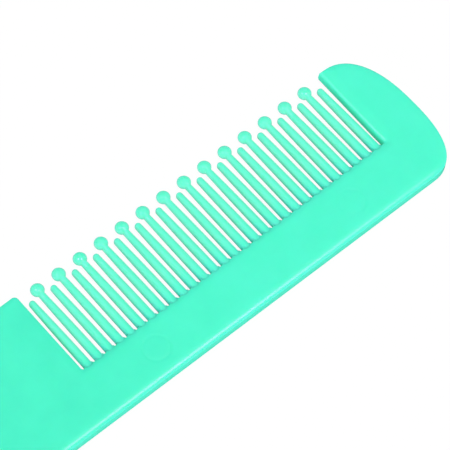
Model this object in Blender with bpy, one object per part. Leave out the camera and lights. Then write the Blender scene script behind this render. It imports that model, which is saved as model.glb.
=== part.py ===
"""A rat tail comb moulded in one piece from mint plastic, lying flat on its underside.

X runs along the comb from the tail to the nose, Y from the back edge to the tooth tips, Z up.
The comb is drawn from the middle of the line on which its slots end, then moved as a whole so that
the middle of its underside is the origin.
"""

import math

import bmesh
import bpy

MM = 0.001

# The plate: spine, heel, nose guard and the start of the tail share one thickness and one back edge.
PLATE_THICKNESS = 2.8 * MM
EDGE_ROUND = 0.6 * MM
SPINE_WIDTH = 10.22 * MM  # from the slot ends to the back edge, at the middle of the tooth row
BACK_SLOPE = math.radians(-0.45)  # the back edge falls away from the tooth row towards the nose

# The row of teeth: plain and ball-tipped ones in turn, with a plain one at each end.
TOOTH_PITCH = 2.3 * MM
BALL_TEETH = 14
TOOTH_ROOT_WIDTH = 1.48 * MM
TOOTH_TIP_WIDTH = 1.12 * MM
TOOTH_TIP_THICKNESS = 1.6 * MM
TOOTH_LENGTH = 17.7 * MM  # from the slot ends to the outer side of the balls
PLAIN_SHORTFALL = 2.2 * MM  # how much sooner a plain tooth ends
BALL_DIAMETER = 2.5 * MM
BALL_THICKNESS = 1.66 * MM
WIDTH_TAPER = 2.4  # power of the width's fall towards the tip
TOOTH_SQUARENESS = 3.0  # power of a tooth's section, where 2 is an ellipse

# The shoulder where the spine steps down on both faces to the thinner teeth.
SHOULDER_DROP = 0.3 * MM
SHOULDER_TOP = 1.15 * MM  # how far behind the slot ends the step starts
SHOULDER_FOOT = 0.65 * MM
SLOT_ROUND = 0.3 * MM  # of the edges round the slot ends

# The nose guard beyond the last tooth.
GUARD_GAP = 0.36 * MM  # from the middle of the last slot to the guard's wall, at the slot end
GUARD_LEAN = 0.2 * MM  # how far the wall leans away towards its tip
GUARD_HEIGHT = 17.42 * MM
GUARD_CORNER = 0.1 * MM  # radius of the corner beside the last tooth, inside the edge round
GUARD_REACH = 9.3 * MM  # from the foot of the wall to the foremost point of the nose
NOSE_HEIGHT = 2.95 * MM  # of the foremost point, above the slot ends
NOSE_TOP_POWER = 2.4  # of the curves above and below that point, where 2 is an ellipse
NOSE_FOOT_POWER = 2.5
NOSE_FOOT_START = 1.95 * MM  # from the foot of the wall to where the back edge starts to curve up

# The heel before the first tooth, and the curve that brings it down to the tail.
HEEL_GAP = 0.39 * MM
HEEL_HEIGHT = 17.64 * MM
HEEL_LENGTH = 14.0 * MM
HEEL_CORNER = 0.3 * MM  # radius of the corner beside the first tooth, inside the edge round
SWEEP_LENGTH = 24.0 * MM

# The tail, a flat oval bar that thins to a blunt round tip.
TAIL_ROOT_WIDTH = 8.6 * MM
TAIL_LENGTH = 100.0 * MM
TAIL_TIP_WIDTH = 3.2 * MM
TAIL_TIP_THICKNESS = 2.4 * MM
TAIL_ROOT_SQUARENESS = 7.0  # power of the section at the neck, which falls to an ellipse at the tip

# How finely round stretches are divided.
ROUND_STEPS = 3
SLOT_END_STEPS = 4
CORNER_STEPS = 4
NOSE_STEPS = 11
SWEEP_STEPS = 8
TAIL_STEPS = 8
SECTION_POINTS = 12
SHANK_STATIONS = (0, 0.35, 0.6, 0.8)  # where a tooth's sections stand, as shares of its shank
TIP_STEPS = 4
BALL_STEPS = 8
POLE_TURN = math.radians(80)  # how far a dome curves in before its small flat end
SHARP_ANGLE = math.radians(35)

MINT = (0.089, 0.947, 0.638)  # linear RGB
GLOSS_ROUGHNESS = 0.32

tooth_count = 2 * BALL_TEETH + 1
half_row = tooth_count * TOOTH_PITCH / 2  # from the middle of the row to the middle of an end slot
slot_end_radius = (TOOTH_PITCH - TOOTH_ROOT_WIDTH) / 2
guard_corner_round = GUARD_CORNER + EDGE_ROUND
heel_corner_round = HEEL_CORNER + EDGE_ROUND
tooth_root_thickness = PLATE_THICKNESS - 2 * SHOULDER_DROP
heel_wall = -half_row - HEEL_GAP
guard_wall = half_row + GUARD_GAP
nose_front = guard_wall + GUARD_REACH
sweep_start = heel_wall - HEEL_LENGTH
sweep_end = sweep_start - SWEEP_LENGTH
sweep_middle = sweep_start - SWEEP_LENGTH / 2
tail_tip = sweep_end - TAIL_LENGTH


def back_edge(x):
    """Y of the straight back edge."""
    return -SPINE_WIDTH + x * math.tan(BACK_SLOPE)


def sweep_edge(share):
    """A point of the S-curve from the heel's top line (share 0) to the tail's upper edge (share 1)."""
    tail_top = back_edge(sweep_end) + TAIL_ROOT_WIDTH
    drop = (1 - math.cos(math.pi * share)) / 2
    return (sweep_start - share * SWEEP_LENGTH, HEEL_HEIGHT + (tail_top - HEEL_HEIGHT) * drop)


def arc(centre, radius, start, end, steps):
    """Points on an arc, with its angles in degrees."""
    turns = [math.radians(start + (end - start) * i / steps) for i in range(steps + 1)]
    return [(centre[0] + radius * math.cos(t), centre[1] + radius * math.sin(t)) for t in turns]


def clear_scene():
    for old in list(bpy.data.objects):
        bpy.data.objects.remove(old, do_unlink=True)


def mint_plastic():
    """Glossy moulded plastic, coloured right through."""
    material = bpy.data.materials.new("mint_plastic")
    material.use_nodes = True
    shader = material.node_tree.nodes["Principled BSDF"]
    shader.inputs["Base Color"].default_value = (*MINT, 1)
    shader.inputs["Roughness"].default_value = GLOSS_ROUGHNESS
    shader.inputs["Metallic"].default_value = 0
    return material


def loft(name, rings):
    """A closed mesh through rings of equally many points, with a flat face over the first and the last."""
    form = bmesh.new()
    loops = [[form.verts.new(point) for point in ring] for ring in rings]
    for lower, upper in zip(loops, loops[1:]):
        for i in range(len(lower)):
            form.faces.new((lower[i - 1], lower[i], upper[i], upper[i - 1]))
    form.faces.new(loops[0])
    form.faces.new(loops[-1])
    bmesh.ops.recalc_face_normals(form, faces=form.faces)
    mesh = bpy.data.meshes.new(name)
    form.to_mesh(mesh)
    form.free()
    mesh.shade_smooth()
    mesh.set_sharp_from_angle(angle=SHARP_ANGLE)
    return mesh


def place(name, mesh, material, origin, location=(0, 0, 0)):
    """A node of the comb, hung on the comb's origin."""
    if not mesh.materials:
        mesh.materials.append(material)
    node = bpy.data.objects.new(name, mesh)
    node.location = location
    node.parent = origin
    bpy.context.collection.objects.link(node)


def edge_round(steps):
    """(inset, height) pairs up a rounded edge, from the underside to where the wall stands upright."""
    turns = [math.pi / 2 * i / steps for i in range(steps + 1)]
    return [(EDGE_ROUND * (1 - math.sin(t)), EDGE_ROUND * (1 - math.cos(t))) for t in turns]


def inset(outline, joints, distance):
    """The outline drawn in by a distance, except on the sides that start at the joints' points."""
    lines = []
    for i, (x, y) in enumerate(outline):
        next_x, next_y = outline[(i + 1) % len(outline)]
        length = math.hypot(next_x - x, next_y - y)
        normal = ((y - next_y) / length, (next_x - x) / length)
        reach = 0 if i in joints else distance
        lines.append((normal, normal[0] * x + normal[1] * y + reach))
    points = []
    for i, ((ax, ay), a) in enumerate(lines):
        (bx, by), b = lines[i - 1]
        cross = ax * by - ay * bx
        points.append(((a * by - b * ay) / cross, (b * ax - a * bx) / cross))
    return points


def mirrored(rings):
    """The rings of the lower half, followed by the same ones turned over for the upper half."""
    return rings + [[(x, y, PLATE_THICKNESS - z) for x, y, z in ring] for ring in reversed(rings)]


def plate(name, outline, joints):
    """A slab over a plan outline that runs anticlockwise, rounded all round but on its joint sides."""
    rings = []
    for step, height in edge_round(ROUND_STEPS):
        rings.append([(x, y, height) for x, y in inset(outline, joints, step)])
    return loft(name, mirrored(rings))


def slot_ends(growth):
    """The round slot ends from the heel to the guard, half a slot at each end, with radii grown a little."""
    half = SLOT_END_STEPS // 2
    radius = slot_end_radius + growth
    points = arc((-half_row, slot_end_radius), radius, 270, 360, half)
    for slot in range(1, tooth_count):
        middle = slot * TOOTH_PITCH - half_row
        points += arc((middle, slot_end_radius), radius, 180, 360, SLOT_END_STEPS)
    return points + arc((half_row, slot_end_radius), radius, 180, 270, half)


def spine():
    """The back of the comb: a rounded back edge, flat faces, and the shoulder down to the slot ends."""
    slots = slot_ends(0)
    fronts = [
        [(x, -SHOULDER_TOP, 0) for x, _ in slots],
        [(x, -SHOULDER_FOOT, SHOULDER_DROP) for x, _ in slots],
        [(x, y, SHOULDER_DROP) for x, y in slot_ends(SLOT_ROUND)],
        [(x, y, SHOULDER_DROP + SLOT_ROUND) for x, y in slots],
    ]
    rings = []
    for (step, height), front in zip(edge_round(len(fronts) - 1), fronts):
        rings.append([(x, back_edge(x) + step, height) for x in (half_row, -half_row)] + front)
    return loft("spine", mirrored(rings))


def end_guard():
    """The nose: a wall beside the last slot, a swept top and a fuller corner down to the back edge."""
    quarter = [math.pi / 2 * i / NOSE_STEPS for i in range(NOSE_STEPS + 1)]
    foot_start = guard_wall + NOSE_FOOT_START
    foot = []
    for turn in reversed(quarter):
        x = foot_start + (nose_front - foot_start) * math.cos(turn) ** (2 / NOSE_FOOT_POWER)
        share = math.sin(turn) ** (2 / NOSE_FOOT_POWER)
        foot.append((x, NOSE_HEIGHT + (back_edge(x) - NOSE_HEIGHT) * share))
    wall_top = guard_wall + GUARD_LEAN
    top_start = wall_top + guard_corner_round
    top = []
    for turn in quarter[1:]:
        x = top_start + (nose_front - top_start) * math.cos(turn) ** (2 / NOSE_TOP_POWER)
        share = math.sin(turn) ** (2 / NOSE_TOP_POWER)
        top.append((x, NOSE_HEIGHT + (GUARD_HEIGHT - NOSE_HEIGHT) * share))
    corner_middle = (top_start, GUARD_HEIGHT - guard_corner_round)
    corner = arc(corner_middle, guard_corner_round, 90, 180, CORNER_STEPS)[1:]
    slot = arc((half_row, GUARD_GAP), GUARD_GAP, 0, -90, CORNER_STEPS)
    outline = [(half_row, back_edge(half_row))] + foot + top + corner + slot
    return plate("end_guard", outline, {len(outline) - 1}), outline


def heel():
    """The full-width plate before the first slot, up to the middle of the sweep down to the tail."""
    slot = arc((-half_row, HEEL_GAP), HEEL_GAP, 270, 180, CORNER_STEPS)
    corner_middle = (heel_wall - heel_corner_round, HEEL_HEIGHT - heel_corner_round)
    corner = arc(corner_middle, heel_corner_round, 0, 90, CORNER_STEPS)
    sweep = [sweep_edge(i / SWEEP_STEPS) for i in range(SWEEP_STEPS // 2 + 1)]
    outline = [(-half_row, back_edge(-half_row))] + slot + corner + sweep
    outline.append((sweep_middle, back_edge(sweep_middle)))
    return plate("heel", outline, {0, len(outline) - 2})


def tail_neck():
    """The hollow half of the sweep, which draws the plate in to the tail's width."""
    sweep = [sweep_edge(i / SWEEP_STEPS) for i in range(SWEEP_STEPS // 2, SWEEP_STEPS + 1)]
    outline = [(sweep_middle, back_edge(sweep_middle))] + sweep
    outline.append((sweep_end, back_edge(sweep_end)))
    return plate("tail_neck", outline, {0, len(outline) - 2})


def oval(half_width, half_thickness, power):
    """A ring of (across, up) points between an ellipse (power 2) and a rectangle (a high power)."""
    ring = []
    for i in range(SECTION_POINTS):
        turn = 2 * math.pi * i / SECTION_POINTS
        across = math.copysign(abs(math.cos(turn)) ** (2 / power), math.cos(turn))
        up = math.copysign(abs(math.sin(turn)) ** (2 / power), math.sin(turn))
        ring.append((half_width * across, half_thickness * up))
    return ring


def dome(length):
    """(distance, size) pairs along a domed end, from its full size to a small flat."""
    turns = [POLE_TURN * i / TIP_STEPS for i in range(TIP_STEPS + 1)]
    return [(length * math.sin(turn) / math.sin(POLE_TURN), math.cos(turn)) for turn in turns]


def tail():
    """The bar from the neck to the tip, lofted through ovals that narrow and turn rounder."""
    root_middle = back_edge(sweep_end) + TAIL_ROOT_WIDTH / 2
    tip_round = TAIL_TIP_WIDTH / 2
    straight = TAIL_LENGTH - tip_round
    stations = [(straight * i / TAIL_STEPS, 1) for i in range(TAIL_STEPS)]
    stations += [(straight + along, size) for along, size in dome(tip_round)]
    rings = []
    for along, size in stations:
        share = min(along / straight, 1)
        width = TAIL_ROOT_WIDTH + (TAIL_TIP_WIDTH - TAIL_ROOT_WIDTH) * share
        thickness = PLATE_THICKNESS + (TAIL_TIP_THICKNESS - PLATE_THICKNESS) * share
        power = TAIL_ROOT_SQUARENESS + (2 - TAIL_ROOT_SQUARENESS) * share
        middle = root_middle - along * math.tan(BACK_SLOPE)
        section = oval(size * width / 2, size * thickness / 2, power)
        rings.append([(sweep_end - along, middle + y, PLATE_THICKNESS / 2 + z) for y, z in section])
    return loft("tail", rings)


def shank(length):
    """Stations of a tooth's shank: (distance from root, half width, half thickness, section power)."""
    stations = []
    for share in SHANK_STATIONS:
        width = TOOTH_ROOT_WIDTH + (TOOTH_TIP_WIDTH - TOOTH_ROOT_WIDTH) * share**WIDTH_TAPER
        thickness = tooth_root_thickness + (TOOTH_TIP_THICKNESS - tooth_root_thickness) * share
        stations.append((share * length, width / 2, thickness / 2, TOOTH_SQUARENESS))
    return stations


def tooth_mesh(name, stations):
    """A tooth lofted through its stations, from its root along Y."""
    rings = []
    for along, half_width, half_thickness, power in stations:
        rings.append([(x, along, z) for x, z in oval(half_width, half_thickness, power)])
    return loft(name, rings)


def plain_tooth():
    """A shank that tapers to a domed tip."""
    tip_round = TOOTH_TIP_WIDTH / 2
    length = TOOTH_LENGTH - PLAIN_SHORTFALL - slot_end_radius - tip_round
    stations = shank(length)
    for along, size in dome(tip_round):
        half_width = size * TOOTH_TIP_WIDTH / 2
        half_thickness = size * TOOTH_TIP_THICKNESS / 2
        stations.append((length + along, half_width, half_thickness, TOOTH_SQUARENESS))
    return tooth_mesh("plain_tooth", stations)


def ball_tooth():
    """A shank that ends in a flattened ball."""
    radius = BALL_DIAMETER / 2
    middle = TOOTH_LENGTH - slot_end_radius - radius
    neck_turn = -math.acos(TOOTH_TIP_WIDTH / BALL_DIAMETER)
    ball = []
    for i in range(BALL_STEPS + 1):
        turn = neck_turn + (POLE_TURN - neck_turn) * i / BALL_STEPS
        half_thickness = BALL_THICKNESS / 2 * math.cos(turn)
        if turn < 0:
            half_thickness = max(half_thickness, TOOTH_TIP_THICKNESS / 2)
        along = middle + radius * math.sin(turn) / math.sin(POLE_TURN)
        ball.append((along, radius * math.cos(turn), half_thickness, 2))
    return tooth_mesh("ball_tooth", shank(ball[0][0]) + ball)


def build():
    clear_scene()
    guard_mesh, guard_outline = end_guard()
    lowest = min(y for _, y in guard_outline)
    origin = bpy.data.objects.new("comb_origin", None)
    origin.location = (-(nose_front + tail_tip) / 2, -(TOOTH_LENGTH + lowest) / 2, 0)
    bpy.context.collection.objects.link(origin)

    plastic = mint_plastic()
    place("spine", spine(), plastic, origin)
    place("end_guard", guard_mesh, plastic, origin)
    place("heel", heel(), plastic, origin)
    place("tail_neck", tail_neck(), plastic, origin)
    place("tail", tail(), plastic, origin)

    plain_mesh = plain_tooth()
    ball_mesh = ball_tooth()
    for i in range(tooth_count):
        x = (i + 0.5) * TOOTH_PITCH - half_row
        root = (x, slot_end_radius, PLATE_THICKNESS / 2)
        if i % 2:
            place(f"ball_tooth_{i // 2 + 1:02d}", ball_mesh, plastic, origin, root)
        else:
            place(f"plain_tooth_{i // 2 + 1:02d}", plain_mesh, plastic, origin, root)


build()
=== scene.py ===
import math

import bmesh
import bpy
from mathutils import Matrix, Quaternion, Vector


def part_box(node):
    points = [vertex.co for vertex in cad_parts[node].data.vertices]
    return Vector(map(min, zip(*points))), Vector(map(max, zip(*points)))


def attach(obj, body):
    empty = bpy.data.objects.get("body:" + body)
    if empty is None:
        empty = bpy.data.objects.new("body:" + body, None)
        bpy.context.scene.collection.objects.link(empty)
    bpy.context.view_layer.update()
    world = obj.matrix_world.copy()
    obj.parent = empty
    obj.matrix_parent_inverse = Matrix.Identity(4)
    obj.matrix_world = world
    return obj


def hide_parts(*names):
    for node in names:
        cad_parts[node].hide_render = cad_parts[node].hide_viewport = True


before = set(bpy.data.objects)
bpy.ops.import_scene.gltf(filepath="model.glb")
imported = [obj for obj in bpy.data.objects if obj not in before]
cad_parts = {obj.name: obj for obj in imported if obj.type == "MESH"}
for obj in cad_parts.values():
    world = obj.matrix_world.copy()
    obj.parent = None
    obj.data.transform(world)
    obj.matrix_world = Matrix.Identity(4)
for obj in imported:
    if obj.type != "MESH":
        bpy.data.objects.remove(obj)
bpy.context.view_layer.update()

# The view. The photograph looks down on the comb from behind its back edge, on the tail's side, with a
# long lens, and is turned a little. The tooth row crosses the picture from lower left to upper right.
MM = 0.001
VIEW_AZIMUTH = math.radians(-45.06)
VIEW_ELEVATION = math.radians(62.68)
VIEW_ROLL = math.radians(4.92)
VIEW_DISTANCE = 481.9 * MM
VIEW_AIM = Vector((66.665, 2.123, 1.44)) * MM
LENS_MM = 226.7
SENSOR_MM = 36
CLIP_SHARE = 100  # how much nearer and further than the comb the camera still sees

toward_camera = Vector((
    math.sin(VIEW_AZIMUTH) * math.cos(VIEW_ELEVATION),
    -math.cos(VIEW_AZIMUTH) * math.cos(VIEW_ELEVATION),
    math.sin(VIEW_ELEVATION),
))
upright = (-toward_camera).to_track_quat("-Z", "Y")
view_turn = upright @ Quaternion((0, 0, 1), VIEW_ROLL)
bpy.ops.object.camera_add(
    location=VIEW_AIM + VIEW_DISTANCE * toward_camera, rotation=view_turn.to_euler()
)
camera = bpy.context.object
camera.data.sensor_width = SENSOR_MM
camera.data.lens = LENS_MM
camera.data.clip_start = VIEW_DISTANCE / CLIP_SHARE
camera.data.clip_end = VIEW_DISTANCE * CLIP_SHARE
bpy.context.scene.camera = camera
bpy.context.scene.view_settings.view_transform = "Standard"


# The table. The comb lies on plain white card, which the photograph shows as white with hardly a shadow.
# Seen by the camera, the card is near white by itself: the rest of its light is the studio's, so that the
# comb's soft shadow stays on it. In gloss it shows only a dim white of its own.
CARD_WHITE = "#FFFFFF"
CARD_SIZE = 20.0  # metres, so that its edge is never seen
CARD_DROP = 0.05 * MM  # keeps the card's face off the comb's own underside
CARD_SEEN_SHARE = 0.97  # of what the camera sees of the card, its own white
CARD_GLOSS_LEVEL = 0.12  # in gloss, where the comb's walls hardly show the card in the photograph


def srgb(code):
    """Linear RGBA of an sRGB hex colour."""
    parts = [int(code[i : i + 2], 16) / 255 for i in (1, 3, 5)]
    return [p / 12.92 if p <= 0.04045 else ((p + 0.055) / 1.055) ** 2.4 for p in parts] + [1]


def add_node(tree, kind, inputs=None, **settings):
    """Adds a node with its own settings. Each input is a value, or a socket that is linked to it."""
    node = tree.nodes.new(kind)
    for name, value in settings.items():
        setattr(node, name, value)
    for name, value in (inputs or {}).items():
        if isinstance(value, bpy.types.NodeSocket):
            tree.links.new(value, node.inputs[name])
        else:
            node.inputs[name].default_value = value
    return node


def largest(tree, *values):
    """The largest of some values."""
    total = values[0]
    for value in values[1:]:
        total = add_node(tree, "ShaderNodeMath", {0: total, 1: value}, operation="MAXIMUM").outputs[0]
    return total


bpy.ops.object.select_all(action="DESELECT")
bpy.ops.mesh.primitive_plane_add(size=CARD_SIZE, location=(0, 0, -CARD_DROP))
card = bpy.context.object
card.name = "white_card"
card_paper = bpy.data.materials.new("matt_white_card")
card_paper.use_nodes = True
tree = card_paper.node_tree
tree.nodes.clear()
path = add_node(tree, "ShaderNodeLightPath").outputs
seen = add_node(
    tree, "ShaderNodeMath", {0: path["Is Camera Ray"], 1: CARD_SEEN_SHARE}, operation="MULTIPLY"
).outputs[0]
share = largest(tree, seen, path["Is Glossy Ray"], path["Is Transmission Ray"])
level = largest(tree, path["Is Camera Ray"], CARD_GLOSS_LEVEL)
matt = add_node(tree, "ShaderNodeBsdfDiffuse", {"Color": srgb(CARD_WHITE)})
glow = add_node(tree, "ShaderNodeEmission", {"Color": srgb(CARD_WHITE), "Strength": level})
mixed = add_node(tree, "ShaderNodeMixShader", {0: share, 1: matt.outputs[0], 2: glow.outputs[0]})
add_node(tree, "ShaderNodeOutputMaterial", {"Surface": mixed.outputs[0]})
card.data.materials.append(card_paper)

# The studio. A pale room gives most of the light, more of it from the camera's side than from beyond the
# comb. Two soft boxes hang over the comb, one to the left and one to the right of the picture: they make
# the two dots of light on each ball and the line of light along the rounded back edge.
ROOM_BRIGHT_SIDE = Vector((-0.5, -0.87, 0))  # behind the camera, and more towards the back edge
ROOM_LIGHT_FRONT = 1.15
ROOM_LIGHT_BACK = 0.3
ROOM_SEEN = 1.0  # white where the camera sees the room itself
BOX_SIZE = 0.2  # metres
BOX_HEIGHT = 1.0  # metres, from the comb
BOX_TILT = math.radians(20)  # of each box away from straight above
BOX_WATTS = 1.9

world = bpy.data.worlds.new("pale_room")
bpy.context.scene.world = world
world.use_nodes = True
tree = world.node_tree
tree.nodes.clear()
direction = add_node(tree, "ShaderNodeTexCoord").outputs["Generated"]
toward_front = add_node(
    tree,
    "ShaderNodeVectorMath",
    {0: direction, 1: ROOM_BRIGHT_SIDE},
    operation="DOT_PRODUCT",
).outputs["Value"]
level = add_node(
    tree,
    "ShaderNodeMapRange",
    {"Value": toward_front, "From Min": -1.0, "To Min": ROOM_LIGHT_BACK, "To Max": ROOM_LIGHT_FRONT},
).outputs["Result"]
dim = add_node(tree, "ShaderNodeBackground", {"Color": srgb(CARD_WHITE), "Strength": level})
bright = add_node(tree, "ShaderNodeBackground", {"Color": srgb(CARD_WHITE), "Strength": ROOM_SEEN})
path = add_node(tree, "ShaderNodeLightPath")
mixed = add_node(
    tree,
    "ShaderNodeMixShader",
    {0: path.outputs["Is Camera Ray"], 1: dim.outputs[0], 2: bright.outputs[0]},
)
add_node(tree, "ShaderNodeOutputWorld", {"Surface": mixed.outputs[0]})

picture_right = view_turn @ Vector((1, 0, 0))
picture_right.z = 0
picture_right.normalize()
for name, side in (("soft_box_right", 1), ("soft_box_left", -1)):
    toward_box = Vector((0, 0, math.cos(BOX_TILT))) + side * math.sin(BOX_TILT) * picture_right
    bpy.ops.object.light_add(type="AREA", location=VIEW_AIM + toward_box * BOX_HEIGHT)
    soft_box = bpy.context.object
    soft_box.name = name
    soft_box.rotation_euler = toward_box.to_track_quat("Z", "Y").to_euler()
    soft_box.data.size = BOX_SIZE
    soft_box.data.energy = BOX_WATTS
    soft_box.visible_camera = False


# The plate: spine, nose guard, heel, neck and tail, one run of plastic from end to end. It is injection
# moulded in one shot with the teeth, in a mould of two halves, so its edges are rounded alike on both
# faces. It starts as the block between the two walls that close the tooth row, and grows out from there.
EDGE_REACH = 1.8 * MM  # how far in from the walls the faces start to roll off
EDGE_DROP = 0.5 * MM  # how far they come down
EDGE_STEPS = 8
BACK_SLOPE = math.tan(math.radians(-0.45))  # the back edge falls away from the tooth row to the nose
SHOULDER = 0.05 * MM  # from the slots' ends back to the spine's wall
ROOT_EXTRA = 0.13 * MM  # of the teeth at their roots, beyond the frame
ROW_SHIFT = -0.07 * MM  # of the tooth row, from where the frame has it
GUARD_GAP = 1.04 * MM  # from the middle of the last slot to the guard's wall, before it is drawn out
GUARD_BULGE = 0.9 * MM  # by which the middle of that wall is drawn out
GUARD_LEAN = 0.3 * MM  # of the wall, away from the teeth at its tip
TIP_RISE = 0.05 * MM  # of the guard's tip, above the rest of its top
NOSE_HEIGHT = 2.95 * MM  # of the nose's foremost point, above the slots' ends
NOSE_TOP_FULLNESS = 0.56  # profile of the curve above that point, where 0.5 is an ellipse
NOSE_FOOT_FULLNESS = 0.58
NOSE_FOOT_START = 1.44 * MM  # from the guard's wall to where the back edge starts to curve up
NOSE_STEPS = 24
HEEL_GAP = 0.39 * MM  # from the spine's end to the heel's wall
HEEL_LENGTH = 14.0 * MM  # from that wall to where the neck starts
INNER_CORNER = 0.4 * MM  # radius at the two ends of the row
TIP_CORNER_STEP = 2  # the steps of the roll-off at which the round corners of the plan come to a point
HEEL_CORNER_STEP = 5
CORNER_STEPS = 6
SWEEP_STEPS = 24
NEAR = 0.005 * MM  # points nearer than this count as one place
CLOSE = 0.2 * MM  # points of a corner that come this close in the roll-off become one
FACING = 0.9  # a face looks along a direction when this much of its normal lies along it
FLAT_ANGLE = math.radians(0.05)  # between faces that count as one flat

spine_low, spine_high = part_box("spine")
guard_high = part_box("end_guard")[1]
heel_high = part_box("heel")[1]
tail_low, tail_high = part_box("tail")
plain_low, plain_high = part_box("plain_tooth_01")
tooth_pitch = (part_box("plain_tooth_02")[0].x - plain_low.x) / 2
row_start = spine_low.x + ROW_SHIFT
root_width = plain_high.x - plain_low.x + ROOT_EXTRA
slot_radius = (tooth_pitch - root_width) / 2
slot_line = spine_high.y - slot_radius - ROOT_EXTRA / 2
thickness = spine_high.z
middle_z = thickness / 2
heel_wall = spine_low.x - HEEL_GAP
guard_wall = spine_high.x + GUARD_GAP
foot_start = guard_wall + NOSE_FOOT_START
spine_front = slot_line - SHOULDER
nose_y = slot_line + NOSE_HEIGHT
sweep_start = heel_wall - HEEL_LENGTH
sweep_end = tail_high.x


def back_edge(x):
    """Y of the straight back edge."""
    return spine_low.y + (x - spine_high.x) * BACK_SLOPE


def add_block(name, low, high):
    """A new box between two corners, with its place in its mesh, open for editing."""
    bpy.ops.object.select_all(action="DESELECT")
    bpy.ops.mesh.primitive_cube_add(size=1, location=(low + high) / 2, scale=high - low)
    block = bpy.context.object
    block.name = name
    bpy.ops.object.transform_apply()
    bpy.ops.object.mode_set(mode="EDIT")
    for mode in ("VERT", "EDGE", "FACE"):
        bpy.ops.mesh.select_mode(type=mode, use_extend=mode != "VERT")
    return block


def select(piece, kind, test):
    """In edit mode, selects just the faces, edges or verts of a piece that pass a test."""
    bpy.ops.mesh.select_all(action="DESELECT")
    form = bmesh.from_edit_mesh(piece.data)
    form.normal_update()
    for element in getattr(form, kind):
        if test(element):
            element.select_set(True)
    bmesh.update_edit_mesh(piece.data)


def grow(x=0, y=0, z=0):
    """Extrudes what is selected."""
    bpy.ops.mesh.extrude_region_move(TRANSFORM_OT_translate={"value": (x, y, z)})


def select_corner(piece, x, y):
    """Selects the upright edge at a place of the plan."""
    select(
        piece,
        "edges",
        lambda edge: all(math.hypot(v.co.x - x, v.co.y - y) < NEAR for v in edge.verts),
    )


def settle_corner(piece, x, y):
    """Moves the upright edge at a place of the plan onto the sloping line of the back edge."""
    select_corner(piece, x, y)
    bpy.ops.transform.translate(value=(0, back_edge(x) - y, 0))


def round_corner(piece, x, y, steps, **settings):
    """Bevels the upright edge at a place of the plan."""
    select_corner(piece, x, y)
    bpy.ops.mesh.bevel(segments=steps, clamp_overlap=False, **settings)


def faces_along(x, y):
    """A test for faces that look along a direction of the plan."""
    return lambda face: face.normal.x * x + face.normal.y * y > FACING


plate = add_block(
    "comb_plate",
    Vector((heel_wall, back_edge(guard_wall), EDGE_DROP)),
    Vector((guard_wall, spine_front, thickness - EDGE_DROP)),
)
settle_corner(plate, heel_wall, back_edge(guard_wall))

# The guard grows out of the block's nose end, and then up beside the tooth row.
select(plate, "faces", faces_along(1, 0))
grow(x=foot_start - guard_wall)
grow(x=guard_high.x - foot_start)
settle_corner(plate, foot_start, back_edge(guard_wall))
settle_corner(plate, guard_high.x, back_edge(guard_wall))
select(plate, "faces", lambda face: face.normal.y > FACING and face.calc_center_median().x > guard_wall)
grow(y=nose_y - spine_front)
grow(y=guard_high.y - nose_y)
select_corner(plate, guard_wall, guard_high.y)
bpy.ops.transform.translate(value=(GUARD_LEAN, TIP_RISE, 0))
select(
    plate,
    "edges",
    lambda edge: all(abs(v.co.y - spine_front) < NEAR for v in edge.verts)
    and max(v.co.x for v in edge.verts) > guard_wall + NEAR
    or all(abs(v.co.x - foot_start) < NEAR for v in edge.verts)
    and max(v.co.y for v in edge.verts) > back_edge(foot_start) + NEAR,
)
bpy.ops.mesh.dissolve_edges()

# The heel grows out of the other end, and up to nearly the same height.
select(plate, "faces", lambda face: face.normal.x < -FACING and face.calc_center_median().x < spine_low.x)
grow(x=-HEEL_LENGTH)
settle_corner(plate, sweep_start, back_edge(heel_wall))
select(plate, "faces", lambda face: face.normal.y > FACING and face.calc_center_median().x < heel_wall)
grow(y=heel_high.y - spine_front)

# The corners are rounded in the plan: the guard's tip, then the long curves of the nose that start from
# it and end at the foot of the guard's wall, the heel's corner, and the inner corners of the tooth row.
whole_edges = {"offset_type": "PERCENT", "offset_pct": 100}
rolls = []
for step in range(1, EDGE_STEPS + 1):
    angle = math.pi / 2 * step / EDGE_STEPS
    rolls.append((EDGE_REACH * (1 - math.cos(angle)), EDGE_DROP * math.sin(angle)))
tip_radius = rolls[TIP_CORNER_STEP - 1][0]
heel_radius = rolls[HEEL_CORNER_STEP - 1][0]
round_corner(plate, guard_high.x, guard_high.y, NOSE_STEPS, profile=NOSE_TOP_FULLNESS, **whole_edges)
bpy.ops.mesh.select_all(action="SELECT")
bpy.ops.mesh.remove_doubles(threshold=NEAR)
round_corner(plate, guard_wall + GUARD_LEAN, guard_high.y + TIP_RISE, CORNER_STEPS, offset=tip_radius)
foot_y = back_edge(guard_high.x)
round_corner(plate, guard_high.x, foot_y, NOSE_STEPS, profile=NOSE_FOOT_FULLNESS, **whole_edges)
bpy.ops.mesh.select_all(action="SELECT")
bpy.ops.mesh.remove_doubles(threshold=NEAR)
round_corner(plate, heel_wall, heel_high.y, CORNER_STEPS, offset=heel_radius)
for wall in (heel_wall, guard_wall):
    round_corner(plate, wall, spine_front, CORNER_STEPS, offset=INNER_CORNER)
bpy.ops.mesh.select_all(action="SELECT")
bpy.ops.mesh.dissolve_limited(angle_limit=FLAT_ANGLE)

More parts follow.
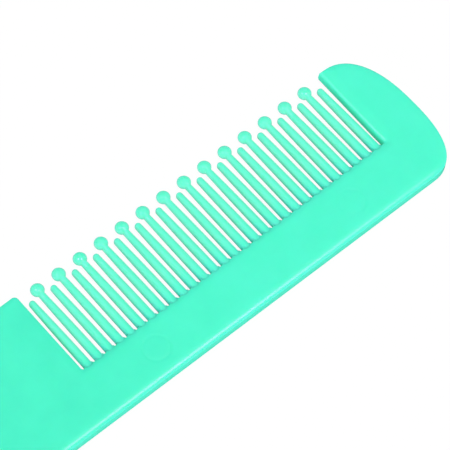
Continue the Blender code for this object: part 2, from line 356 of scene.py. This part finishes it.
# The neck draws the heel in to the tail's width along an S-curve, over a back edge that stays straight.
select(
    plate,
    "faces",
    lambda face: face.normal.x < -FACING and face.calc_center_median().x < heel_wall - NEAR,
)
x = sweep_start
width = heel_high.y - back_edge(x)
for step in range(1, SWEEP_STEPS + 1):
    share = step / SWEEP_STEPS
    next_x = sweep_start + (sweep_end - sweep_start) * share
    top = heel_high.y + (tail_high.y - heel_high.y) * (1 - math.cos(math.pi * share)) / 2
    grow(x=next_x - x, y=back_edge(next_x) - back_edge(x))
    next_width = top - back_edge(next_x)
    bpy.ops.transform.resize(
        value=(1, next_width / width, 1), center_override=(next_x, back_edge(next_x), middle_z)
    )
    x, width = next_x, next_width
grow(x=-2 * EDGE_REACH, y=-2 * EDGE_REACH * BACK_SLOPE)
bpy.ops.mesh.select_all(action="SELECT")
bpy.ops.mesh.dissolve_limited(angle_limit=FLAT_ANGLE)

# Both faces roll off to the walls in a flat quarter of an ellipse: each is drawn in and raised by steps.
for side in (-1, 1):
    select(plate, "faces", lambda face: side * face.normal.z > FACING)
    reach = rise = 0
    for next_reach, next_rise in rolls:
        bpy.ops.mesh.inset(thickness=next_reach - reach, depth=next_rise - rise)
        if next_reach >= tip_radius:
            bpy.ops.mesh.remove_doubles(threshold=CLOSE)
        reach, rise = next_reach, next_rise

# The guard's wall is as round as the teeth beside it: its middle is drawn out, and all around it follows.
select(
    plate,
    "edges",
    lambda edge: abs(edge.verts[0].co.z - edge.verts[1].co.z) > middle_z
    and edge.verts[0].co.x > spine_high.x
    and any(face.normal.x < -FACING for face in edge.link_faces),
)
bpy.ops.mesh.subdivide()
select(
    plate,
    "verts",
    lambda v: abs(v.co.z - middle_z) < NEAR and 0 < v.co.x - spine_high.x < GUARD_GAP + GUARD_LEAN + NEAR,
)
bpy.ops.transform.translate(
    value=(-GUARD_BULGE, 0, 0),
    use_proportional_edit=True,
    proportional_edit_falloff="SPHERE",
    proportional_size=middle_z,
)

# The tail is a flat bar that turns rounder as it thins to a blunt tip: half a flattened sphere, joined to
# the rounded end of the neck by one long bridge.
TAIL_TIP_WIDTH = 3.2 * MM
TAIL_TIP_THICKNESS = 2.4 * MM
TAIL_TIP_RINGS = 16
TAIL_STEPS = 24

bpy.ops.mesh.select_all(action="SELECT")
bpy.ops.mesh.bisect(plane_co=(sweep_end, 0, 0), plane_no=(1, 0, 0), clear_inner=True)
tip_points = 4 * (EDGE_STEPS + 1)
tip_length = TAIL_TIP_WIDTH / 2
tail_middle = back_edge(sweep_end) + (tail_high.y - tail_low.y) / 2
tip_middle = Vector((tail_low.x + tip_length, 0, middle_z))
tip_middle.y = tail_middle + (tip_middle.x - sweep_end) * BACK_SLOPE
bpy.ops.mesh.primitive_uv_sphere_add(
    segments=tip_points, ring_count=TAIL_TIP_RINGS, radius=tip_length, location=tip_middle
)
half_step = math.pi / tip_points  # so that the flats of the neck's end meet flats of the tip
bpy.ops.transform.rotate(value=half_step, orient_axis="Z", center_override=tip_middle)
bpy.ops.transform.rotate(value=math.pi / 2, orient_axis="Y", center_override=tip_middle)
bpy.ops.transform.resize(
    value=(1, 1, TAIL_TIP_THICKNESS / TAIL_TIP_WIDTH), center_override=tip_middle
)
select(plate, "faces", lambda face: tip_middle.x < face.calc_center_median().x < sweep_end - tip_length)
bpy.ops.mesh.delete(type="FACE")
select(plate, "edges", lambda edge: edge.is_boundary)
bpy.ops.mesh.bridge_edge_loops(number_cuts=TAIL_STEPS, interpolation="LINEAR")
bpy.ops.mesh.select_all(action="SELECT")
bpy.ops.mesh.normals_make_consistent(inside=False)
bpy.ops.object.mode_set(mode="OBJECT")

# The shoulder runs along the roots of the teeth on both faces: a slope from the rounded edge of the spine
# down to a thin lip, into which the round ends of the slots are cut. It is modelled over one tooth,
# repeated along the row, and joined to the plate.
SLOT_LIP = 1.4 * MM  # height of the lip
SHOULDER_SINK = 0.05 * MM  # keeps the top of the slope inside the spine's wall
SHOULDER_OVERRUN = 1.0 * MM  # into the heel and the guard
SLOT_END_STEPS = 8

row_end = row_start + tooth_pitch * round((spine_high.x - spine_low.x) / tooth_pitch)
slope_top = thickness / 2 - EDGE_DROP - SHOULDER_SINK
shoulder = add_block(
    "shoulder",
    Vector((row_start, spine_front - SHOULDER_SINK, middle_z - SLOT_LIP / 2)),
    Vector((row_start + tooth_pitch, slot_line + slot_radius, middle_z + SLOT_LIP / 2)),
)
select(shoulder, "faces", faces_along(0, -1))
bpy.ops.transform.resize(
    value=(1, 1, 2 * slope_top / SLOT_LIP), center_override=(row_start, spine_front, middle_z)
)
select(shoulder, "faces", lambda face: abs(face.normal.x) > FACING)
bpy.ops.mesh.delete(type="ONLY_FACE")
for side in (0, 1):
    slot_middle = row_start + side * tooth_pitch
    towards_tooth = 1 - 2 * side
    for step in range(1, SLOT_END_STEPS + 1):
        angle = math.pi / 2 * step / SLOT_END_STEPS
        cut = slot_middle + towards_tooth * slot_radius * math.sin(angle)
        bpy.ops.mesh.select_all(action="SELECT")
        bpy.ops.mesh.bisect(plane_co=(cut, 0, 0), plane_no=(1, 0, 0))
for column in range(SLOT_END_STEPS):
    angle = math.pi / 2 * column / SLOT_END_STEPS
    depth = slot_radius * math.cos(angle)
    offset = slot_radius * math.sin(angle)
    columns = (row_start + offset, row_start + tooth_pitch - offset)
    select(
        shoulder,
        "verts",
        lambda v: v.co.y > slot_line and any(abs(v.co.x - at) < NEAR for at in columns),
    )
    bpy.ops.transform.translate(value=(0, -depth, 0))
bpy.ops.object.mode_set(mode="OBJECT")
repeat = shoulder.modifiers.new("along_the_row", "ARRAY")
repeat.count = round((row_end - row_start) / tooth_pitch)
repeat.use_relative_offset = False
repeat.use_constant_offset = True
repeat.constant_offset_displace = (tooth_pitch, 0, 0)
repeat.use_merge_vertices = True
repeat.merge_threshold = NEAR
bpy.ops.object.modifier_apply(modifier=repeat.name)
bpy.ops.object.mode_set(mode="EDIT")
select(shoulder, "edges", lambda edge: edge.is_boundary)
bpy.ops.mesh.fill_holes(sides=0)
for side, end in ((-1, row_start), (1, row_end)):
    select(shoulder, "faces", lambda face: all(abs(v.co.x - end) < NEAR for v in face.verts))
    grow(x=side * SHOULDER_OVERRUN)
bpy.ops.mesh.select_all(action="SELECT")
bpy.ops.mesh.normals_make_consistent(inside=False)
bpy.ops.object.mode_set(mode="OBJECT")


def combine(piece, other, operation):
    """Joins another mesh to a piece, or cuts it out of the piece, and uses the other mesh up."""
    bpy.context.view_layer.objects.active = piece
    change = piece.modifiers.new(operation.lower(), "BOOLEAN")
    change.operation = operation
    change.object = other
    change.solver = "EXACT"
    bpy.ops.object.modifier_apply(modifier=change.name)
    bpy.data.objects.remove(other)


combine(plate, shoulder, "UNION")

# Two ejector pins pushed the comb out of its mould. Each left a round mark on the upper face: a shallow
# groove round a disc that stands a hair above the face. The one nearer the heel shows more clearly.
PIN_MARKS = ((-21.86 * MM, -4.93 * MM, 0.9), (21.47 * MM, -5.16 * MM, 0.7))  # place and strength
PIN_REACH = 2.75 * MM  # radius of the whole mark
PIN_SINK = 0.002 * MM  # a first cut, only to draw the mark's outline on the face
PIN_STEPS = (
    (0.2 * MM, -0.025 * MM),  # inwards and upwards, from the outline through the groove to the disc
    (0.2 * MM, -0.025 * MM),
    (0.1 * MM, 0.0),
    (0.15 * MM, 0.025 * MM),
    (0.15 * MM, 0.025 * MM),
    (0.6 * MM, 0.01 * MM),
    (0.6 * MM, 0.005 * MM),
)
PIN_POINTS = 64

row_middle = (spine_low.x + spine_high.x) / 2
for along, up, strength in PIN_MARKS:
    mark = Vector((row_middle + along, slot_line + up, thickness))
    bpy.ops.object.select_all(action="DESELECT")
    bpy.ops.mesh.primitive_cylinder_add(
        vertices=PIN_POINTS, radius=PIN_REACH, depth=2 * PIN_SINK, location=mark
    )
    combine(plate, bpy.context.object, "DIFFERENCE")
    bpy.ops.object.mode_set(mode="EDIT")
    select(
        plate,
        "faces",
        lambda face: face.normal.z > FACING and (face.calc_center_median() - mark).length < PIN_REACH / 2,
    )
    for inwards, upwards in PIN_STEPS:
        bpy.ops.mesh.inset(thickness=inwards, depth=strength * upwards)
    bpy.ops.object.mode_set(mode="OBJECT")

# The faces between the rounded edges are flat, and shade so. All else is smooth.
SMOOTH_ANGLE = math.radians(40)
FLAT_WEIGHT = 100  # of the larger faces in the shading, which keeps the flats flat


def finish(piece):
    """Shades a piece smooth where it is round, with its flats kept flat."""
    bpy.ops.object.select_all(action="DESELECT")
    piece.select_set(True)
    bpy.context.view_layer.objects.active = piece
    bpy.ops.object.shade_smooth_by_angle(angle=SMOOTH_ANGLE)
    even = piece.modifiers.new("flat_faces", "WEIGHTED_NORMAL")
    even.keep_sharp = True
    even.weight = FLAT_WEIGHT
    bpy.ops.object.modifier_apply(modifier=even.name)


finish(plate)

# Moulded mint polypropylene: coloured right through, with a soft gloss from a polished mould. The colour
# drifts a little where the melt flowed, and the face is never quite flat, so reflections waver.
MINT = "#53FAD4"
MINT_DEEP = "#44EBC8"
DEEP_HEEL = 14.0 * MM  # the colour is deepest at the heel, and clears up to the middle of the row
DEEP_ROW = 60.0 * MM
DEEP_SHIFT = 0.3  # of the mix of the two colours, either way
FLOW_SIZE = 7.0 * MM
FLOW_DETAIL = 3.0
SKIN_SIZE = 0.9 * MM  # a moulded skin is finer than this, but would not show in the render
SKIN_DETAIL = 2.0
WAVE_HEIGHT = 0.004 * MM
SKIN_HEIGHT = 0.0006 * MM
PLASTIC_IOR = 1.49
GLOW_DEPTH = 0.8 * MM  # how far light wanders inside, which brightens thin parts and shaded walls
GLOSS = 0.21  # roughness where the skin is smoothest, and where it is dullest
GLOSS_DULL = 0.28
MINT_WALL_PAINTED_LIGHT = "#5CFFD6"  # painted light: walls are painted paler than the faces, for light through the edges
WALL_FROM = 0.9  # upward part of the normal where a wall starts to look so, and where it does in full
WALL_FULL = 0.3


def mint_plastic(name, painted_wall_colour):
    """The plastic as a new material, and its sockets: colour, the mask of painted light on its walls,
    roughness.
    """
    plastic = bpy.data.materials.new(name)
    plastic.use_nodes = True
    tree = plastic.node_tree
    shader = tree.nodes["Principled BSDF"]
    place = add_node(tree, "ShaderNodeTexCoord").outputs["Object"]
    flow = add_node(
        tree, "ShaderNodeTexNoise", {"Vector": place, "Scale": 1 / FLOW_SIZE, "Detail": FLOW_DETAIL}
    ).outputs["Fac"]
    skin = add_node(
        tree, "ShaderNodeTexNoise", {"Vector": place, "Scale": 1 / SKIN_SIZE, "Detail": SKIN_DETAIL}
    ).outputs["Fac"]
    along = add_node(tree, "ShaderNodeSeparateXYZ", {0: place}).outputs["X"]
    drift = add_node(
        tree,
        "ShaderNodeMapRange",
        {
            "Value": along,
            "From Min": DEEP_HEEL,
            "From Max": DEEP_ROW,
            "To Min": -DEEP_SHIFT,
            "To Max": DEEP_SHIFT,
        },
    ).outputs["Result"]
    shade = add_node(tree, "ShaderNodeMath", {0: flow, 1: drift}, operation="ADD").outputs[0]
    tint = add_node(
        tree, "ShaderNodeMix", {"Factor": shade, 6: srgb(MINT_DEEP), 7: srgb(MINT)}, data_type="RGBA"
    ).outputs[2]
    # Painted light: faces that turn from straight up take on the paler wall colour, lifting their shade.
    normal = add_node(tree, "ShaderNodeTexCoord").outputs["Normal"]
    facing_up = add_node(tree, "ShaderNodeSeparateXYZ", {0: normal}).outputs["Z"]
    flatness = add_node(tree, "ShaderNodeMath", {0: facing_up}, operation="ABSOLUTE").outputs[0]
    painted_light_on_sides = add_node(
        tree, "ShaderNodeMapRange", {"Value": flatness, "From Min": WALL_FROM, "From Max": WALL_FULL}
    ).outputs["Result"]
    tint = add_node(
        tree, "ShaderNodeMix", {"Factor": painted_light_on_sides, 6: tint, 7: srgb(painted_wall_colour)}, data_type="RGBA"
    ).outputs[2]
    dulling = add_node(
        tree, "ShaderNodeMapRange", {"Value": skin, "To Min": GLOSS, "To Max": GLOSS_DULL}
    ).outputs["Result"]
    waves = add_node(
        tree, "ShaderNodeBump", {"Height": flow, "Distance": WAVE_HEIGHT}
    ).outputs["Normal"]
    surface = add_node(
        tree, "ShaderNodeBump", {"Height": skin, "Distance": SKIN_HEIGHT, "Normal": waves}
    ).outputs["Normal"]
    shader.inputs["IOR"].default_value = PLASTIC_IOR
    shader.inputs["Subsurface Weight"].default_value = 1.0
    shader.inputs["Subsurface Radius"].default_value = (1.0, 1.0, 1.0)
    shader.inputs["Subsurface Scale"].default_value = GLOW_DEPTH
    for socket, value in (("Base Color", tint), ("Roughness", dulling), ("Normal", surface)):
        tree.links.new(value, shader.inputs[socket])
    return plastic, tint, painted_light_on_sides, dulling


def dress(piece, material, *nodes):
    """Gives a piece its material, and puts it on the comb in place of the frame's nodes."""
    piece.data.materials.clear()
    piece.data.materials.append(material)
    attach(piece, "root")
    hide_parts(*nodes)


plate_plastic = mint_plastic("moulded_mint_polypropylene", MINT_WALL_PAINTED_LIGHT)[0]
dress(plate, plate_plastic, "spine", "end_guard", "heel", "tail_neck", "tail")


# The plain teeth, every second one of the row, moulded in one with the spine. Each is a rounded bar that
# thins towards a domed tip, and its root runs on into the shoulder.
TOOTH_POINTS = 24
ROUND = 2  # power of a round section: more is squarer
TOOTH_SQUARENESS = 2.1
TOOTH_TIP_WIDTH = 1.21 * MM
TOOTH_TIP_THICKNESS = 1.7 * MM
WIDTH_TAPER = 2.4  # power of the width's fall, which comes late
ROOT_SINK = 1.85 * MM  # of the root, back into the plate from the slots' ends
ROOT_SQUARENESS = 12.0  # at the sunk end of the root
ROOT_FLARE = 0.12 * MM  # by which that end is thicker on each face
ROOT_SPREAD = 0.3 * MM  # by which it is broader on each side
FLARE_LENGTH = 4.6 * MM  # of root over which each of these dies away, and the power of its fall
FLARE_FALL = 1.3
SPREAD_LENGTH = 2.3 * MM
SQUARE_LENGTH = 2.3 * MM
SPREAD_FALL = 2  # of the breadth, and of the squareness
FLARE_STEPS = 12
SHANK_STEPS = 8
DOME_STEPS = 6

root_thickness = plain_high.z - plain_low.z


def reshape(piece, middle, section, next_section):
    """Takes the selected end of a bar from one width, thickness and squareness to others."""
    width, depth, squareness = section
    next_width, next_depth, next_squareness = next_section
    changes = ((0, width, next_width), (2, depth, next_depth))
    power = squareness / next_squareness
    form = bmesh.from_edit_mesh(piece.data)
    for v in form.verts:
        if v.select:
            for axis, size, next_size in changes:
                offset = v.co[axis] - middle[axis]
                share = (abs(offset) / (size / 2)) ** power
                v.co[axis] = middle[axis] + math.copysign(share * next_size / 2, offset)
    bmesh.update_edit_mesh(piece.data)


def add_shank(name, x, tip_y, tip_thickness):
    """A new tapering bar along Y, open for editing with its end selected."""
    bpy.ops.object.select_all(action="DESELECT")
    root_middle = Vector((x, slot_line - ROOT_SINK, middle_z))
    bpy.ops.mesh.primitive_circle_add(
        vertices=TOOTH_POINTS,
        radius=root_width / 2,
        fill_type="NGON",
        location=root_middle,
        rotation=(math.pi / 2, 0, 0),
    )
    tooth = bpy.context.object
    tooth.name = name
    bpy.ops.object.transform_apply()
    bpy.ops.object.mode_set(mode="EDIT")
    bpy.ops.mesh.select_mode(type="FACE")
    reach = tip_y - slot_line
    stations = [FLARE_LENGTH * i / FLARE_STEPS - ROOT_SINK for i in range(FLARE_STEPS + 1)]
    straight = reach - stations[-1]
    stations += [reach + straight * (i / SHANK_STEPS - 1) for i in range(1, SHANK_STEPS + 1)]
    last = stations[0]
    section = (root_width, root_width, ROUND)
    for station in stations:
        share = max(station, 0) / reach
        flare = max(1 - (station + ROOT_SINK) / FLARE_LENGTH, 0) ** FLARE_FALL
        spread = max(1 - (station + ROOT_SINK) / SPREAD_LENGTH, 0) ** SPREAD_FALL
        square = max(1 - (station + ROOT_SINK) / SQUARE_LENGTH, 0) ** SPREAD_FALL
        next_section = (
            root_width + (TOOTH_TIP_WIDTH - root_width) * share**WIDTH_TAPER + 2 * ROOT_SPREAD * spread,
            root_thickness + (tip_thickness - root_thickness) * share + 2 * ROOT_FLARE * flare,
            TOOTH_SQUARENESS + (ROOT_SQUARENESS - TOOTH_SQUARENESS) * square,
        )
        if station > last:
            grow(y=station - last)
        reshape(tooth, root_middle, section, next_section)
        last = station
        section = next_section
    return tooth


def close_tip(x, length):
    """Closes the selected end of a shank with a dome."""
    size = 1
    for step in range(1, DOME_STEPS + 1):
        angle = math.pi / 2 * step / DOME_STEPS
        grow(y=length * (math.sin(angle) - math.sin(angle - math.pi / 2 / DOME_STEPS)))
        if step < DOME_STEPS:
            next_size = math.cos(angle)
            bpy.ops.transform.resize(
                value=(next_size / size, 1, next_size / size), center_override=(x, 0, middle_z)
            )
            size = next_size
    bpy.ops.mesh.merge(type="CENTER")
    bpy.ops.mesh.select_all(action="SELECT")
    bpy.ops.mesh.normals_make_consistent(inside=False)
    bpy.ops.object.mode_set(mode="OBJECT")


def repeat_tooth(tooth, kind, material):
    """Copies a finished tooth along the row, for every node of its kind, and dresses each."""
    count = sum(name.startswith(kind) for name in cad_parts)
    for number in range(1, count + 1):
        tooth.name = f"moulded_{kind}_{number:02d}"
        dress(tooth, material, f"{kind}_{number:02d}")
        if number < count:
            bpy.ops.object.select_all(action="DESELECT")
            tooth.select_set(True)
            bpy.context.view_layer.objects.active = tooth
            bpy.ops.object.duplicate()
            tooth = bpy.context.object
            bpy.ops.transform.translate(value=(2 * tooth_pitch, 0, 0))
            bpy.ops.object.transform_apply()


# The same polypropylene where it is thin. Painted light: the teeth are painted paler than the spine, more
# and more over the first few millimetres from their roots, for the light that passes through them.
MINT_THIN_PAINTED_LIGHT = "#66FFD2"
MINT_SIDE_PAINTED_LIGHT = "#90FFDE"  # painted light: a tooth's sides, painted paler for the light through them
# painted light: the paler colour of a tooth's sides near its root
MINT_ROOT_SIDE_PAINTED_LIGHT = "#6EFFED"
PAINTED_LIGHT_START = -1.4 * MM  # from the slots' ends
PAINTED_LIGHT_END = 5.6 * MM
BALL_POLISH = 0.62  # the balls are polished in the mould, so the soft boxes show on them as two dots
POLISH_FADE = 0.4 * MM  # beyond the tips of the plain teeth

thin_plastic_painted_light, tint, painted_light_on_sides, dulling = mint_plastic("thin_mint_polypropylene_painted_light", MINT_ROOT_SIDE_PAINTED_LIGHT)
tree = thin_plastic_painted_light.node_tree
place = add_node(tree, "ShaderNodeTexCoord").outputs["Object"]
along = add_node(tree, "ShaderNodeSeparateXYZ", {0: place}).outputs["Y"]
# Painted light: from the roots towards the tips the colour turns to the paler painted colours.
painted_light_along_teeth = add_node(
    tree,
    "ShaderNodeMapRange",
    {"Value": along, "From Min": slot_line + PAINTED_LIGHT_START, "From Max": slot_line + PAINTED_LIGHT_END},
    interpolation_type="SMOOTHSTEP",
).outputs["Result"]
painted_light_tint = add_node(
    tree, "ShaderNodeMix", {"Factor": painted_light_on_sides, 6: srgb(MINT_THIN_PAINTED_LIGHT), 7: srgb(MINT_SIDE_PAINTED_LIGHT)}, data_type="RGBA"
).outputs[2]
paler = add_node(
    tree, "ShaderNodeMix", {"Factor": painted_light_along_teeth, 6: tint, 7: painted_light_tint}, data_type="RGBA"
).outputs[2]
polish = add_node(
    tree,
    "ShaderNodeMapRange",
    {
        "Value": along,
        "From Min": plain_high.y,
        "From Max": plain_high.y + POLISH_FADE,
        "To Min": 1.0,
        "To Max": BALL_POLISH,
    },
).outputs["Result"]
shader = tree.nodes["Principled BSDF"]
smoother = add_node(tree, "ShaderNodeMath", {0: dulling, 1: polish}, operation="MULTIPLY").outputs[0]
for socket, value in (("Base Color", paler), ("Roughness", smoother)):
    tree.links.new(value, shader.inputs[socket])

plain_x = row_start + tooth_pitch / 2
tip_round = TOOTH_TIP_WIDTH / 2
plain_tooth = add_shank("plain_tooth", plain_x, plain_high.y - tip_round, TOOTH_TIP_THICKNESS)
close_tip(plain_x, tip_round)
finish(plain_tooth)
repeat_tooth(plain_tooth, "plain_tooth", thin_plastic_painted_light)


# The ball-tipped teeth stand between the plain ones and reach further. The same bar ends in a flattened
# ball, which slides over the scalp.
BALL_THICKNESS = 1.66 * MM
BALL_POINTS = 32
BALL_RINGS = 24
NECK_THICKNESS = 1.3 * MM  # thinner than the ball, so that its crease stays low

ball_low, ball_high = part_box("ball_tooth_01")
ball_x = plain_x + tooth_pitch
ball_radius = (ball_high.x - ball_low.x) / 2
ball_middle = Vector((ball_x, ball_high.y - ball_radius, middle_z))
ball_tooth = add_shank("ball_tooth", ball_x, ball_middle.y - ball_radius / 2, NECK_THICKNESS)
close_tip(ball_x, tip_round)
bpy.ops.object.select_all(action="DESELECT")
bpy.ops.mesh.primitive_uv_sphere_add(
    segments=BALL_POINTS,
    ring_count=BALL_RINGS,
    radius=ball_radius,
    location=ball_middle,
)
bpy.ops.transform.resize(
    value=(1, 1, BALL_THICKNESS / (2 * ball_radius)), center_override=ball_middle
)
bpy.ops.object.transform_apply()
combine(ball_tooth, bpy.context.object, "UNION")
finish(ball_tooth)
repeat_tooth(ball_tooth, "ball_tooth", thin_plastic_painted_light)
